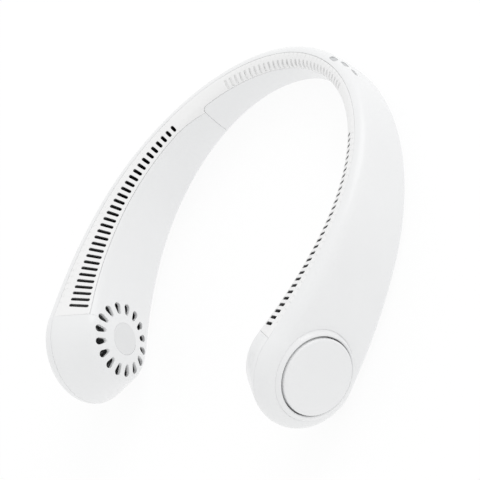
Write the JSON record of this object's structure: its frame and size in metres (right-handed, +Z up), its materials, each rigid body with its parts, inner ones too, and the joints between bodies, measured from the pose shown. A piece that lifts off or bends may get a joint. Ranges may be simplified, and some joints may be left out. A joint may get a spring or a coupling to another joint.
{
  "type": "neck fan",
  "caption": "Horseshoe-shaped wearable neck fan with a blower pod at each tip, slotted air outlets along both arms, domed inlet grilles and a large round push button.",
  "frame": {"origin": "middle of the footprint, on the surface that the fan lies on", "axes": "+Z up out of the outlet side, +Y to the arch at the nape, +X to the wearer's arm with the button"},
  "size_m": [0.1898, 0.1958, 0.0596],
  "materials": {
    "shell": "satin white",
    "strip": "satin white",
    "panel": "matt white",
    "button": "polished white",
    "label": "plain printed film",
    "lens": "frosted grey",
    "board": "solder mask",
    "switch": "moulded black",
    "metal": "plain steel",
    "wheel": "moulded dark grey",
    "bracket": "moulded grey",
    "cell": "wrapped cell"
  },
  "bodies": {
    "power_button": {"power_button": "button", "switch_plunger": "switch"},
    "impeller_left": {"impeller_left": "wheel", "motor_shaft_left": "metal"},
    "impeller_right": {"impeller_right": "wheel", "motor_shaft_right": "metal"},
    "housing": {"battery_left": "cell", "battery_right": "cell", "battery_tray_left": "bracket", "battery_tray_right": "bracket", "button_switch": "switch", "control_board": "board", "end_cap": "button", "hub_label": "label", "indicator_lenses": "lens", "inner_shell_left": "shell", "inner_shell_right": "shell", "motor_bracket_left": "bracket", "motor_bracket_right": "bracket", "motor_left": "metal", "motor_right": "metal", "neck_panel": "panel", "outer_shell": "shell", "outlet_strip": "strip", "usb_port": "metal"}
  },
  "joints": [
    {"name": "impeller_left_spin", "type": "hinge", "parent": "housing", "child": "impeller_left", "pos_m": [-0.06832, -0.06676, 0.02989], "axis": [-0.9613, -0.2682, 0.0636], "continuous": true},
    {"name": "impeller_right_spin", "type": "hinge", "parent": "housing", "child": "impeller_right", "pos_m": [0.06832, -0.06676, 0.02989], "axis": [0.9613, -0.2682, 0.0636], "continuous": true},
    {"name": "power_button_press", "type": "slide", "parent": "housing", "child": "power_button", "axis": [-0.9613, 0.2682, -0.0636], "range_m": [0, 0.0008], "stiffness_N_per_m": 800}
  ]
}
